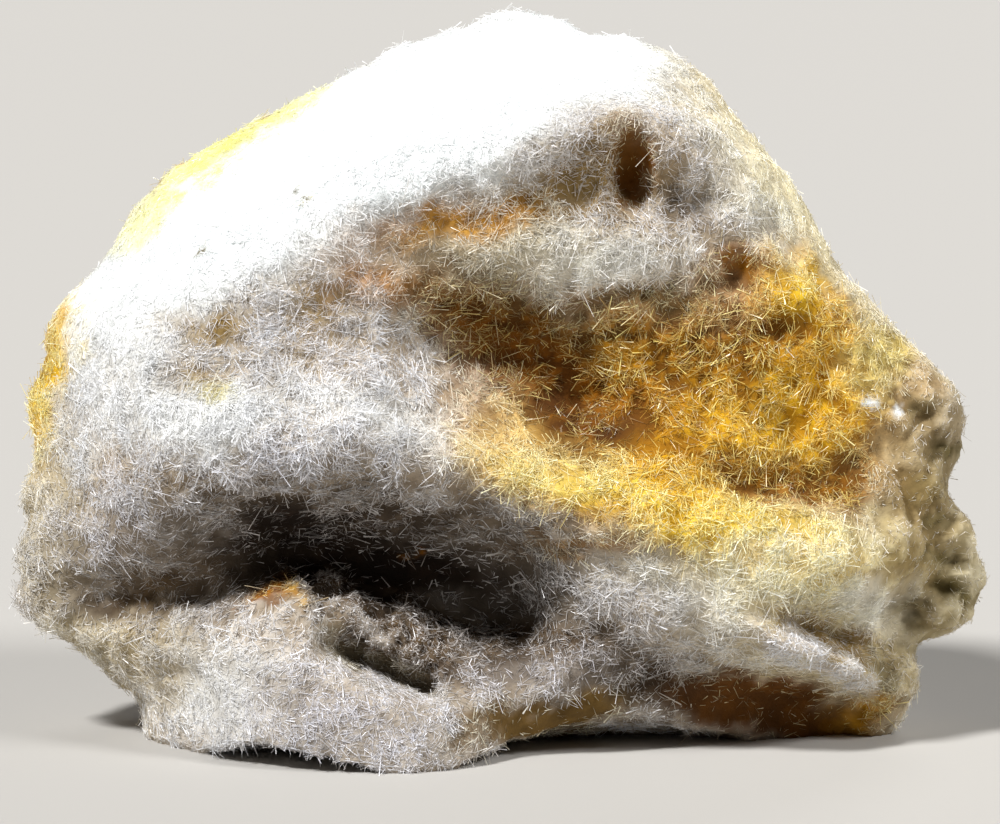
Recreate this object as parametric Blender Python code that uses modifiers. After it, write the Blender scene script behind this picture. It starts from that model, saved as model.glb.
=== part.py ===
"""Bavenite hand specimen, one natural piece, standing on a flat cut base.

Metres, +Z up, front towards -Y. The form is first laid out in the view frame of the front: across (to the
right), up and forward, in millimetres, as seen from VIEW_DISTANCE_MM, with the outline at forward = 0. It is
then leaned back by LEAN_DEG, because the front is seen from slightly above, and cut off flat at Z = 0.
"""

import math

import bmesh
import bpy
import numpy as np
from mathutils import Vector

NODE_NAME = "bavenite_specimen"
MM = 0.001
TINY = 1e-9

# How the front is seen: the lean, how far the form sinks into the ground, and from where it is seen.
LEAN_DEG = 7.0
SINK_MM = 0.3
VIEW_DISTANCE_MM = 226.0
VIEW_CENTRE_MM = (0.45, 14.7)

# The middle of the outline, and how bluntly the front and the back turn in to it.
CENTRE_MM = (0.0, 14.2)
FRONT_BLUNTNESS = 8.0
BACK_BLUNTNESS = 9.0
RIM_WANDER_MM = 1.3
RIM_WANDER_TURN = 0.9
RIM_WANDER_BLUNTNESS = 6.0

# How far the relief may ease off its points, and how much of what stands past a broken face is lost.
RELIEF_EASE = 0.02
BREAK_SHARE = 0.85

# How far a pit's or a groove's slope runs past its half width.
HOLLOW_SPREAD = 1.4

# Unevenness of the crust, and the fineness of the mesh.
UNEVENNESS_MM = 0.55
UNEVENNESS_SCALE_MM = 2.6
SPHERE_STEPS = 7
CELL_MM = 0.42
TRIANGLE_SHARE = 0.150

# Outline of the front, across and up, clockwise from the bottom left corner. It runs on under the base.
OUTLINE = [
    (-15.4, -1.9), (-15.8, -0.2), (-15.9, 1.6), (-16.9, 2.4), (-17.4, 3.1), (-19.4, 4.5),
    (-20.6, 5.1), (-21.5, 5.8), (-21.3, 6.9), (-21.3, 8.5), (-20.9, 10.0), (-21.2, 11.1),
    (-20.6, 12.1), (-20.6, 13.9), (-20.8, 15.1), (-20.1, 17.4), (-20.3, 18.2), (-19.7, 19.3),
    (-17.9, 21.3), (-17.0, 22.4), (-16.1, 24.1), (-15.1, 25.2), (-13.3, 26.6), (-11.5, 27.7),
    (-7.9, 29.5), (-6.1, 30.5), (-2.5, 31.9), (-0.9, 32.2), (0.2, 32.8), (2.3, 32.8),
    (3.2, 32.6), (4.5, 31.9), (6.6, 31.8), (8.1, 31.2), (9.4, 30.2), (11.1, 28.0),
    (13.3, 25.4), (15.0, 22.8), (15.6, 21.4), (17.7, 19.3), (18.8, 17.9), (20.9, 16.1),
    (21.5, 14.6), (21.2, 13.9), (21.6, 13.2), (21.2, 12.4), (20.7, 11.6), (21.0, 10.5),
    (21.7, 9.8), (22.1, 8.9), (22.0, 8.2), (22.4, 7.0), (22.2, 5.9), (21.6, 5.1),
    (19.9, 4.4), (19.1, 3.7), (19.4, 2.9), (19.1, 1.7), (17.9, 0.2), (17.1, -1.3),
    (16.3, -7.4), (0.5, -8.3), (-14.5, -7.4),
]

# Relief of the front: across, up, forward, along each of its forms.
FRONT_FORMS = {
    "smooth plane of the crown": [
        (-18.5, 19.0, 5.5), (-16.0, 21.5, 6.2), (-13.0, 24.2, 6.6), (-9.0, 26.6, 6.4),
        (-4.5, 28.6, 6.2), (0.0, 30.0, 5.6), (4.0, 30.2, 5.8),
    ],
    "crest under the crown": [
        (-17.0, 17.3, 7.8), (-14.0, 20.2, 8.8), (-11.0, 21.8, 9.4), (-8.0, 23.0, 9.9),
        (-5.0, 24.6, 10.4), (-2.0, 25.8, 10.4), (1.0, 26.8, 10.2), (4.0, 27.8, 9.8), (6.6, 28.6, 9.2),
        (9.0, 27.9, 8.6),
    ],
    "right shoulder of the crest": [
        (10.9, 26.0, 7.9), (11.9, 24.2, 7.4), (12.6, 22.2, 6.9), (14.2, 20.2, 6.3), (16.2, 18.3, 5.0),
    ],
    "edge behind the right shoulder": [
        (8.6, 29.4, 5.8), (13.2, 23.6, 5.4), (18.6, 16.6, 3.6),
    ],
    "face below the crest": [
        (-12.6, 18.4, 9.1), (-13.4, 16.8, 9.4), (-9.0, 20.2, 9.6), (-6.4, 20.2, 9.2), (-4.8, 23.2, 9.5),
        (-2.0, 23.9, 9.1), (1.0, 24.6, 8.7), (4.0, 25.4, 8.1), (8.6, 24.6, 7.1), (10.3, 23.2, 6.9),
    ],
    "fold across the face": [
        (-5.0, 21.8, 9.1), (-1.5, 22.0, 9.0), (2.0, 22.2, 8.8), (5.5, 22.4, 8.3), (8.4, 22.2, 7.6),
    ],
    "upper wall of the hollow": [
        (-6.6, 18.4, 8.9), (-4.0, 19.6, 8.2), (-1.0, 19.6, 7.5), (2.0, 19.7, 7.2), (5.0, 20.2, 7.5),
        (8.0, 20.0, 7.0), (11.2, 21.0, 6.4),
    ],
    "floor of the hollow": [
        (-2.6, 17.9, 6.8), (0.0, 17.0, 5.8), (2.0, 16.0, 5.4), (3.8, 14.8, 5.6), (5.4, 16.4, 5.9),
        (7.2, 18.4, 6.5), (9.0, 15.4, 6.3), (4.9, 13.6, 6.4),
    ],
    "stained right face": [
        (10.4, 18.2, 6.4), (12.4, 16.8, 6.1), (14.8, 17.0, 5.6), (16.8, 15.2, 4.8), (12.2, 13.0, 6.5),
        (15.0, 12.4, 5.6), (17.6, 12.4, 4.6), (19.6, 13.2, 3.8),
    ],
    "golden lip under the hollow": [
        (-4.0, 15.2, 9.4), (-2.0, 13.8, 9.3), (0.0, 13.0, 9.0), (2.4, 11.6, 9.4), (5.0, 10.8, 9.8),
        (7.4, 10.4, 9.8), (9.8, 10.0, 9.4), (12.2, 9.4, 8.7), (14.8, 9.4, 7.8), (17.2, 9.0, 6.5),
    ],
    "white roll": [
        (-19.2, 14.4, 5.0), (-17.6, 14.0, 7.2), (-15.0, 15.2, 9.2), (-12.0, 14.8, 10.5), (-9.0, 16.2, 10.0),
        (-8.0, 14.0, 10.9), (-5.4, 16.8, 9.3), (-4.8, 13.6, 10.5), (-11.0, 12.8, 10.8), (-14.2, 12.6, 9.8),
        (-17.0, 11.2, 7.6), (-19.2, 11.2, 4.8),
    ],
    "lower edge of the roll": [
        (-14.6, 10.4, 9.2), (-12.0, 11.4, 10.0), (-10.0, 11.6, 10.2), (-7.6, 11.8, 10.2), (-5.0, 11.6, 9.9),
        (-2.4, 11.2, 9.4), (0.0, 10.6, 8.9), (2.2, 9.6, 8.4),
    ],
    "back of the cave": [
        (-12.6, 9.0, 7.4), (-10.6, 9.6, 7.4), (-8.0, 9.8, 7.2), (-5.0, 9.4, 6.8), (-2.0, 9.0, 6.2),
        (0.6, 8.4, 5.8),
        (-12.4, 7.9, 6.2), (-10.4, 8.1, 4.8), (-8.4, 8.1, 4.0), (-6.4, 7.8, 3.5), (-4.6, 7.2, 3.4),
        (-2.8, 6.8, 3.4), (-0.8, 6.6, 3.4), (1.0, 6.4, 3.6), (-2.2, 5.6, 3.8), (-0.2, 4.8, 3.8),
        (1.6, 4.8, 4.2),
    ],
    "ledge in the cave": [
        (-9.6, 6.7, 7.6), (-7.6, 6.5, 7.2), (-6.0, 5.9, 7.1), (-4.4, 5.0, 7.0), (-2.8, 4.3, 6.8),
        (-1.2, 3.8, 6.6), (-8.0, 5.2, 8.2), (-5.6, 4.4, 7.5), (-3.2, 3.2, 7.4),
    ],
    "foot": [
        (-11.0, 5.2, 8.4), (-9.0, 4.0, 8.9), (-7.2, 3.0, 9.1), (-5.2, 2.2, 9.3), (-3.6, 1.2, 9.5),
        (-1.6, 1.0, 9.0), (-9.0, 1.0, 9.7), (-6.0, -0.2, 10.2), (-3.6, -1.4, 10.4), (-0.8, -0.6, 9.0),
        (-11.4, 2.6, 8.8), (-11.6, -0.4, 8.6), (-13.2, 2.4, 6.8), (-14.8, 0.6, 4.9),
    ],
    "left groove": [
        (-17.6, 6.4, 3.9), (-15.6, 6.5, 4.6), (-13.4, 6.8, 5.3),
    ],
    "cheeks of the left groove": [
        (-19.9, 8.2, 3.6), (-18.0, 8.2, 5.2), (-16.0, 8.3, 6.6), (-14.4, 8.5, 7.6), (-13.2, 4.8, 7.4),
        (-15.2, 4.4, 6.2), (-17.4, 4.4, 5.2), (-16.4, 3.0, 5.2), (-19.4, 5.2, 3.8),
    ],
    "floor in front of the cave": [
        (0.6, 2.8, 7.0), (2.2, 2.4, 7.3), (4.2, 2.5, 7.2), (3.0, 4.0, 6.3), (4.8, 4.6, 7.2), (3.4, 6.4, 6.9),
    ],
    "belly under the lip": [
        (5.2, 7.8, 8.4), (7.0, 5.2, 7.9), (7.6, 7.8, 9.0), (9.4, 5.0, 7.9), (10.4, 7.6, 9.0),
        (12.4, 6.8, 8.6), (14.8, 6.8, 7.9), (17.0, 6.6, 6.7), (19.2, 7.0, 4.4),
    ],
    "smooth strip over the arch": [
        (1.2, 0.2, 6.9), (3.2, 1.0, 6.6), (5.6, 1.6, 6.2), (6.4, 3.4, 6.5), (8.2, 2.2, 5.4), (10.2, 2.2, 4.6),
    ],
    "white ledge at the lower right": [
        (11.0, 4.3, 7.8), (12.6, 4.6, 8.0), (14.4, 3.9, 7.8), (16.0, 3.3, 7.0), (17.3, 3.0, 5.8),
    ],
    "slot above the white ledge": [
        (14.6, 5.1, 6.6), (16.0, 4.6, 5.6), (17.5, 4.1, 4.8),
    ],
    "recess under the white ledge": [
        (11.8, 2.0, 3.9), (13.8, 1.6, 3.0), (16.0, 1.2, 2.7), (17.6, 1.0, 3.2), (14.0, -0.4, 2.4),
        (11.4, -0.2, 3.4),
    ],
    "right margin": [
        (20.2, 10.0, 3.4), (20.6, 6.6, 3.0), (18.4, 2.8, 3.8),
    ],
    "sides under the base": [
        (-12.0, -6.0, 9.0), (-4.0, -6.5, 11.4), (4.0, -6.5, 8.0), (13.0, -6.0, 2.5),
    ],
}

# Relief of the back, seen through from the front: across, up, depth behind the outline.
BACK_FORMS = {
    "broken back face": [
        (-6.0, 12.0, 11.8), (0.0, 18.5, 12.2), (3.0, 8.0, 12.4), (8.0, 14.0, 11.6), (-5.0, 4.0, 11.4),
        (9.0, 4.0, 10.4), (-2.0, -4.0, 11.6), (8.0, -4.0, 10.2),
    ],
    "slopes to the outline": [
        (-14.0, 8.0, 8.6), (-14.0, 18.0, 8.0), (-8.0, 24.0, 8.6), (0.0, 28.0, 7.4), (8.0, 22.5, 9.6),
        (15.0, 16.0, 7.8), (16.0, 6.0, 8.2), (-18.0, 12.0, 6.6), (18.5, 10.0, 6.4), (-12.0, -4.0, 8.4),
    ],
    "shallow trough on the back": [
        (-9.0, 17.0, 9.0), (-4.0, 22.0, 9.4), (4.0, 12.5, 10.8), (12.0, 9.5, 8.4),
    ],
}

# Pits eaten into the front: across, up, half width, half height, depth.
PITS = [
    (6.4, 25.6, 1.0, 2.0, 2.6),
    (11.1, 21.1, 1.0, 1.0, 1.7),
    (8.9, 24.1, 1.3, 0.8, 0.7),
    (7.6, 20.1, 1.6, 0.6, 0.6),
    (4.4, 15.4, 1.4, 0.8, 0.7),
    (13.0, 18.3, 1.6, 0.9, 0.6),
    (12.6, 11.2, 2.0, 0.8, 0.8),
    (15.6, 11.4, 1.6, 0.9, 0.7),
    (20.6, 7.8, 0.9, 0.5, 0.9),
    (20.7, 6.6, 0.9, 0.7, 1.1),
    (20.4, 9.7, 0.8, 0.5, 0.7),
    (-10.4, 7.6, 1.8, 0.6, 0.6),
]

# Long hollows of the front, and ridges where the depth is negative: depth, half width, then the way it runs,
# across and up.
GROOVES = {
    "slot under the ledge in the cave": (2.2, 0.8, [(-7.2, 4.1), (-5.6, 3.4), (-4.0, 2.7), (-2.6, 2.2)]),
    "slot above the white ledge": (1.1, 0.8, [(13.8, 5.4), (15.4, 4.9), (17.6, 4.0)]),
    "edge of the white ledge": (-0.5, 1.1, [(11.4, 4.4), (13.0, 4.2), (15.0, 3.4), (17.0, 2.8)]),
    "left groove": (0.7, 1.2, [(-18.4, 6.2), (-15.0, 6.4), (-11.8, 7.2)]),
    "furrow in the right face": (0.5, 1.4, [(11.4, 11.6), (13.6, 11.2), (16.4, 12.0), (18.6, 11.6)]),
    "crease of the right margin": (0.7, 0.9, [(19.0, 7.2), (19.0, 5.6), (18.4, 4.4)]),
}

# Rounded knobs of the matted crust: across, up, forward, radius.
KNOBS = [
    (19.8, 14.6, 1.4, 1.8), (20.1, 13.1, 1.0, 1.5), (19.0, 11.7, 2.0, 1.7), (19.8, 10.4, 1.2, 1.3),
    (20.5, 9.0, 1.0, 1.6), (20.7, 7.2, 0.0, 1.7), (20.4, 5.8, 1.4, 1.4), (18.6, 5.0, 2.6, 1.5),
    (17.9, 2.7, 1.8, 1.6), (17.4, 1.4, 1.0, 1.5), (17.8, 8.6, 4.0, 1.9), (17.2, 10.6, 3.6, 1.7),
    (-18.8, 14.8, 1.4, 2.2), (-18.6, 8.8, 1.0, 2.6),
    (-8.8, 6.3, 6.7, 1.0), (-7.4, 6.5, 6.3, 0.9), (-6.1, 6.3, 6.2, 1.0), (-5.1, 5.5, 6.0, 1.0),
    (-4.0, 4.9, 6.0, 0.9), (-3.0, 4.2, 5.8, 0.9), (-1.9, 4.3, 5.4, 0.8), (-7.0, 5.1, 7.2, 0.9),
    (1.2, 2.9, 5.6, 1.2), (2.6, 2.5, 5.9, 1.1), (4.0, 2.6, 5.8, 1.1), (0.2, 3.9, 4.8, 1.0),
]

# Broken faces of the hidden side, as planes: a point (across, up, forward), then the way the face looks.
BREAKS = [
    ((-8.0, 22.0, -8.2), (-0.45, 0.62, -0.65)),
    ((12.0, 17.0, -8.8), (0.62, 0.22, -0.75)),
    ((-13.5, 8.0, -8.8), (-0.58, -0.06, -0.81)),
    ((2.0, 6.0, -11.6), (0.08, -0.1, -0.99)),
]

# The ground that the specimen is cut off by: its size, and its swells, which hollow the underside of the
# front edge: across, back, half width, half depth, height.
GROUND_SIZE_MM = (56.0, 44.0, 12.0)
GROUND_CELL_MM = 1.0
FLAT_ANGLE = math.radians(0.2)
GROUND_SWELLS = {
    "arch": (6.6, -7.6, 9.0, 7.4, 2.3),
    "left undercut": (-9.8, -9.0, 6.6, 5.0, 1.0),
    "right undercut": (18.6, -5.0, 3.6, 4.6, 0.6),
}

# Pale stone of the matted needles.
STONE_COLOUR = (0.78, 0.72, 0.60, 1.0)
STONE_ROUGHNESS = 0.75


def clear_scene():
    """Remove every object of the scene."""
    for thing in list(bpy.data.objects):
        bpy.data.objects.remove(thing, do_unlink=True)


def make_collection(name):
    """Make a collection under the scene's own."""
    collection = bpy.data.collections.new(name)
    bpy.context.scene.collection.children.link(collection)
    return collection


def move_to(thing, collection):
    """Put an object in one collection only."""
    for holder in list(thing.users_collection):
        holder.objects.unlink(thing)
    collection.objects.link(thing)


def make_material(name, colour, roughness):
    """Make a plain non-metal material."""
    material = bpy.data.materials.new(name)
    material.use_nodes = True
    shader = material.node_tree.nodes["Principled BSDF"]
    shader.inputs["Base Color"].default_value = colour
    shader.inputs["Roughness"].default_value = roughness
    shader.inputs["Metallic"].default_value = 0.0
    return material


def outline_reach(angle):
    """Distance from the centre to the outline, at each angle in the view frame."""
    corners = np.array(OUTLINE) - np.array(CENTRE_MM)
    corner_angle = np.arctan2(corners[:, 1], corners[:, 0])
    order = np.argsort(corner_angle)
    corner_reach = np.hypot(corners[:, 0], corners[:, 1])
    return np.interp(angle, corner_angle[order], corner_reach[order], period=2 * math.pi)


def bent_sheet(forms, across, up):
    """Height of a thin sheet bent smoothly through the points of all forms (a thin plate spline)."""
    points = np.array([point for form in forms.values() for point in form])
    count = len(points)

    def stiffness(gap):
        return gap**2 * np.log(gap + TINY)

    gaps = np.hypot(*(points[:, None, :2] - points[None, :, :2]).transpose(2, 0, 1))
    plane = np.column_stack([np.ones(count), points[:, :2]])
    system = np.zeros((count + 3, count + 3))
    system[:count, :count] = stiffness(gaps) + RELIEF_EASE * np.eye(count)
    system[:count, count:] = plane
    system[count:, :count] = plane.T
    weights = np.linalg.solve(system, np.append(points[:, 2], np.zeros(3)))
    height = weights[count] + weights[count + 1] * across + weights[count + 2] * up
    for (point_across, point_up, _), weight in zip(points, weights):
        height = height + weight * stiffness(np.hypot(across - point_across, up - point_up))
    return height


def smooth_step(value):
    """Ease from 0 to 1."""
    value = np.clip(value, 0.0, 1.0)
    return value * value * (3.0 - 2.0 * value)


def cut_pits(across, up, forward):
    """Sink each pit into the front."""
    for pit_across, pit_up, half_width, half_height, depth in PITS:
        reach = np.hypot((across - pit_across) / half_width, (up - pit_up) / half_height)
        forward = forward - depth * (1.0 - smooth_step(reach / HOLLOW_SPREAD))
    return forward


def gap_to_path(across, up, path):
    """Distance from each point to a path of straight runs."""
    nearest = np.full(len(across), np.inf)
    for (start_across, start_up), (end_across, end_up) in zip(path, path[1:]):
        run = np.array([end_across - start_across, end_up - start_up])
        offset_across, offset_up = across - start_across, up - start_up
        along = np.clip((offset_across * run[0] + offset_up * run[1]) / (run @ run), 0.0, 1.0)
        gap = np.hypot(offset_across - along * run[0], offset_up - along * run[1])
        nearest = np.minimum(nearest, gap)
    return nearest


def cut_grooves(across, up, forward):
    """Sink each long hollow into the front."""
    for depth, half_width, path in GROOVES.values():
        reach = gap_to_path(across, up, path) / half_width
        forward = forward - depth * (1.0 - smooth_step(reach / HOLLOW_SPREAD))
    return forward


def swell_knobs(points):
    """Blow each knob up to a ball that stands out of the crust."""
    for centre_across, centre_up, centre_forward, radius in KNOBS:
        centre = np.array([centre_across, centre_up, centre_forward])
        offset = points - centre
        distance = np.linalg.norm(offset, axis=1, keepdims=True)
        inside = (distance < radius)[:, 0]
        points[inside] = centre + offset[inside] / distance[inside] * radius
    return points


def break_off(points):
    """Flatten what stands out past each broken face."""
    for at, facing in BREAKS:
        normal = np.array(facing) / np.linalg.norm(facing)
        beyond = np.maximum((points - np.array(at)) @ normal, 0.0)
        points = points - BREAK_SHARE * beyond[:, None] * normal
    return points


def sculpt(directions):
    """Turn the unit directions of a sphere into points of the specimen, in the view frame."""
    toward_rim = np.minimum(np.hypot(directions[:, 0], directions[:, 2]), 1.0)
    turn = np.arctan2(directions[:, 2], directions[:, 0])
    reach = toward_rim * outline_reach(turn)
    away = directions[:, [0, 2]] / np.maximum(toward_rim, TINY)[:, None]
    across, up = (np.array(CENTRE_MM) + reach[:, None] * away).T
    front = bent_sheet(FRONT_FORMS, across, up)
    front = cut_grooves(across, up, cut_pits(across, up, front))
    front = front * np.sqrt(1.0 - toward_rim**FRONT_BLUNTNESS)
    back = bent_sheet(BACK_FORMS, across, up) * np.sqrt(1.0 - toward_rim**BACK_BLUNTNESS)
    forward = np.where(directions[:, 1] < 0.0, front, -back)
    wander = RIM_WANDER_MM * np.sin(2.0 * turn + RIM_WANDER_TURN) * toward_rim**RIM_WANDER_BLUNTNESS
    return break_off(swell_knobs(np.column_stack([across, up, forward + wander])))


def as_seen(points):
    """Draw what stands forward in towards the line of sight, as it is seen from the view distance."""
    nearness = np.maximum(points[:, 2:], 0.0) / VIEW_DISTANCE_MM
    points[:, :2] -= (points[:, :2] - np.array(VIEW_CENTRE_MM)) * nearness
    return points


def lean_back(points):
    """From the view frame in millimetres to the standing frame in metres."""
    lean = math.radians(LEAN_DEG)
    across, up, forward = points.T
    y = up * math.sin(lean) - forward * math.cos(lean)
    z = up * math.cos(lean) + forward * math.sin(lean) - SINK_MM
    return np.column_stack([across, y, z]) * MM


def make_specimen(collection):
    """Sculpt the specimen from a fine ball."""
    bpy.ops.mesh.primitive_ico_sphere_add(subdivisions=SPHERE_STEPS, radius=1.0)
    specimen = bpy.context.object
    specimen.name = NODE_NAME
    move_to(specimen, collection)
    vertices = specimen.data.vertices
    ball = np.empty(len(vertices) * 3)
    vertices.foreach_get("co", ball)
    ball = ball.reshape(-1, 3)
    ball /= np.linalg.norm(ball, axis=1, keepdims=True)
    vertices.foreach_set("co", lean_back(as_seen(sculpt(ball))).ravel())
    specimen.data.update()
    specimen.data.materials.append(make_material("matted_bavenite", STONE_COLOUR, STONE_ROUGHNESS))
    specimen.data.shade_smooth()
    return specimen


def roughen(specimen):
    """Add the small unevenness of a broken, matted surface, then thin the mesh out."""
    clouds = bpy.data.textures.new("crust_unevenness", type="CLOUDS")
    clouds.noise_scale = UNEVENNESS_SCALE_MM * MM
    clouds.noise_depth = 2
    uneven = specimen.modifiers.new("uneven crust", "DISPLACE")
    uneven.texture = clouds
    uneven.strength = UNEVENNESS_MM * MM
    uneven.mid_level = 0.5
    even = specimen.modifiers.new("even mesh", "REMESH")
    even.mode = "VOXEL"
    even.voxel_size = CELL_MM * MM
    thin = specimen.modifiers.new("fewer triangles", "DECIMATE")
    thin.ratio = TRIANGLE_SHARE


def ground_height(across, back):
    """Height of the ground, in millimetres: flat at zero but for its swells."""
    height = 0.0
    for centre_across, centre_back, half_width, half_depth, swell in GROUND_SWELLS.values():
        reach = math.hypot((across - centre_across) / half_width, (back - centre_back) / half_depth)
        height += swell * (1.0 - float(smooth_step(reach)))
    return height


def make_ground(collection):
    """Make the block of ground as a cutter: a grid with swells, extruded downwards."""
    width, depth, thickness = GROUND_SIZE_MM
    mesh = bpy.data.meshes.new("ground")
    block = bmesh.new()
    bmesh.ops.create_grid(
        block, x_segments=round(width / GROUND_CELL_MM), y_segments=round(depth / GROUND_CELL_MM), size=0.5
    )
    for vertex in block.verts:
        across, back = vertex.co.x * width, vertex.co.y * depth
        vertex.co = Vector((across, back, ground_height(across, back))) * MM
    bottom = bmesh.ops.extrude_face_region(block, geom=block.faces[:])
    for vertex in bottom["geom"]:
        if isinstance(vertex, bmesh.types.BMVert):
            vertex.co.z = -thickness * MM
    bmesh.ops.recalc_face_normals(block, faces=block.faces[:])
    bmesh.ops.dissolve_limit(block, angle_limit=FLAT_ANGLE, verts=block.verts[:], edges=block.edges[:])
    block.to_mesh(mesh)
    block.free()
    ground = bpy.data.objects.new("ground", mesh)
    ground.hide_render = True
    ground.display_type = "WIRE"
    collection.objects.link(ground)
    return ground


def cut_base(specimen, ground):
    """Cut the specimen off flat at Z = 0, and hollow the underside of its front edge."""
    cut = specimen.modifiers.new("cut off flat", "BOOLEAN")
    cut.operation = "DIFFERENCE"
    cut.solver = "EXACT"
    cut.object = ground


def main():
    """Build the specimen and its cutters."""
    clear_scene()
    specimen = make_specimen(make_collection("bavenite"))
    roughen(specimen)
    cut_base(specimen, make_ground(make_collection("cutters")))


if __name__ == "__main__":
    main()
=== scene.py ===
"""Looks of the bavenite hand specimen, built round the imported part.

The specimen is one piece of crust, a fine copy of the CAD solid, with a coat of bavenite needles that is
joined into a few meshes. Everything is in metres in the CAD's own frame. Places on the specimen are named in
the view frame of its front, in millimetres: across (to the right), up and forward.
"""

import logging
import math
from dataclasses import astuple, dataclass, field
from enum import Enum

import bpy
import numpy as np
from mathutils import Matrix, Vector, noise


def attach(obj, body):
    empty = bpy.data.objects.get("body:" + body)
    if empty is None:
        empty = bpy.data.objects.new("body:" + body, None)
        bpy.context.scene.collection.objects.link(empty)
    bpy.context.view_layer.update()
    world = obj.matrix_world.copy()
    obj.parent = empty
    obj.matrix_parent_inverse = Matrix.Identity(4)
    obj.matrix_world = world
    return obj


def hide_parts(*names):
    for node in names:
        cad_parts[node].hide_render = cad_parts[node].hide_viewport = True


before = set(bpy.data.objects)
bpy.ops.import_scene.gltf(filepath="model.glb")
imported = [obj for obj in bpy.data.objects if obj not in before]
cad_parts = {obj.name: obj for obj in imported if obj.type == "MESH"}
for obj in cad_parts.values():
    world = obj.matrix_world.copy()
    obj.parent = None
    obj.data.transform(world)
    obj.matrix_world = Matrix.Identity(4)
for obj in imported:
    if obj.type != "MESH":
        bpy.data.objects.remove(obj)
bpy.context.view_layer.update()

NODE_NAME = "bavenite_specimen"
BODY_NAME = "root"
PAINT = "stain"
MM = 0.001
TINY = 1e-9

# The index of refraction of bavenite.
BAVENITE_IOR = 1.58

# Blender's noise takes its seed from the clock unless it gets one.
DRIFT_SEED = 5

# Places further back than this belong to the back's needles.
BEHIND_MM = -1.0

# The needles' texture is a square of cells, filled along a curve through the box of a band.
CURVE_BITS = 10
BAKE_BITS = 8
BAKE_CELLS = 2**BAKE_BITS
CELL_MARGIN = 0.04

log = logging.getLogger("bavenite")


# Small helpers.


def linear(hex_colour: str) -> tuple[float, float, float, float]:
    """Turn an sRGB hex colour to linear.

    Args:
        hex_colour: the colour, such as "#E8E4DC".

    Returns:
        Red, green, blue and an alpha of one.
    """
    parts = [int(hex_colour[at:at + 2], 16) / 255 for at in (1, 3, 5)]
    red, green, blue = [
        part / 12.92 if part <= 0.04045 else ((part + 0.055) / 1.055) ** 2.4
        for part in parts
    ]
    return (red, green, blue, 1.0)


def smooth_step(value: np.ndarray) -> np.ndarray:
    """Ease from 0 to 1."""
    value = np.clip(value, 0.0, 1.0)
    return value * value * (3.0 - 2.0 * value)


def mix(start: np.ndarray, end: np.ndarray, share: np.ndarray) -> np.ndarray:
    """Mix two values, or rows of them, by a share for each row."""
    rows = share[:, None] if np.ndim(start) == 2 else share
    return start + (end - start) * rows


@dataclass(frozen=True)
class Drift:
    """Smooth random vectors: the size of their largest swells, how many finer layers, and a shift."""

    size_mm: float
    layers: int
    shift: float

    def at(self, points_mm: np.ndarray) -> np.ndarray:
        """One vector for each point, each part of it mostly within one."""
        shifted = points_mm / self.size_mm + self.shift
        return np.array([noise.turbulence_vector(point, self.layers, False) for point in shifted.tolist()])


def add_node(tree: bpy.types.NodeTree, kind: str, settings: dict, links: dict) -> bpy.types.Node:
    """Add one shader node.

    Args:
        tree: the material's node tree.
        kind: the node's class name.
        settings: values by socket name, or by property name where the node has no such socket.
        links: for an input socket, the output socket that feeds it.

    Returns:
        The node.
    """
    node = tree.nodes.new(kind)
    for name, value in settings.items():
        if hasattr(node, name):
            setattr(node, name, value)
        else:
            node.inputs[name].default_value = value
    for name, source in links.items():
        tree.links.new(source, node.inputs[name])
    return node


def deselect_all() -> None:
    """Leave object mode, with nothing selected."""
    if bpy.context.object and bpy.context.object.mode != "OBJECT":
        bpy.ops.object.mode_set(mode="OBJECT")
    bpy.ops.object.select_all(action="DESELECT")


def make_active(thing: bpy.types.Object) -> None:
    """Select one object only, and make it the active one.

    Args:
        thing: the object.
    """
    deselect_all()
    thing.select_set(True)
    bpy.context.view_layer.objects.active = thing


def apply_modifier(thing: bpy.types.Object, kind: str, settings: dict) -> None:
    """Add a modifier with its settings, and apply it.

    Args:
        thing: the mesh object.
        kind: the modifier's type.
        settings: values by property name.
    """
    make_active(thing)
    modifier = thing.modifiers.new(kind.lower(), kind)
    for name, value in settings.items():
        setattr(modifier, name, value)
    bpy.ops.object.modifier_apply(modifier=modifier.name)


def vertex_values(mesh: bpy.types.Mesh, name: str) -> np.ndarray:
    """Read a vector at each vertex of a mesh.

    Args:
        mesh: the mesh.
        name: "co" for the places in metres, or "normal".

    Returns:
        One vector a row.
    """
    values = np.empty(len(mesh.vertices) * 3)
    mesh.vertices.foreach_get(name, values)
    return values.reshape(-1, 3)


def new_material(name: str) -> bpy.types.Material:
    """Make a material with an empty node tree.

    Args:
        name: its name.

    Returns:
        The material.
    """
    material = bpy.data.materials.new(name)
    material.use_nodes = True
    material.node_tree.nodes.clear()
    return material


# Places on the specimen.


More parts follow.
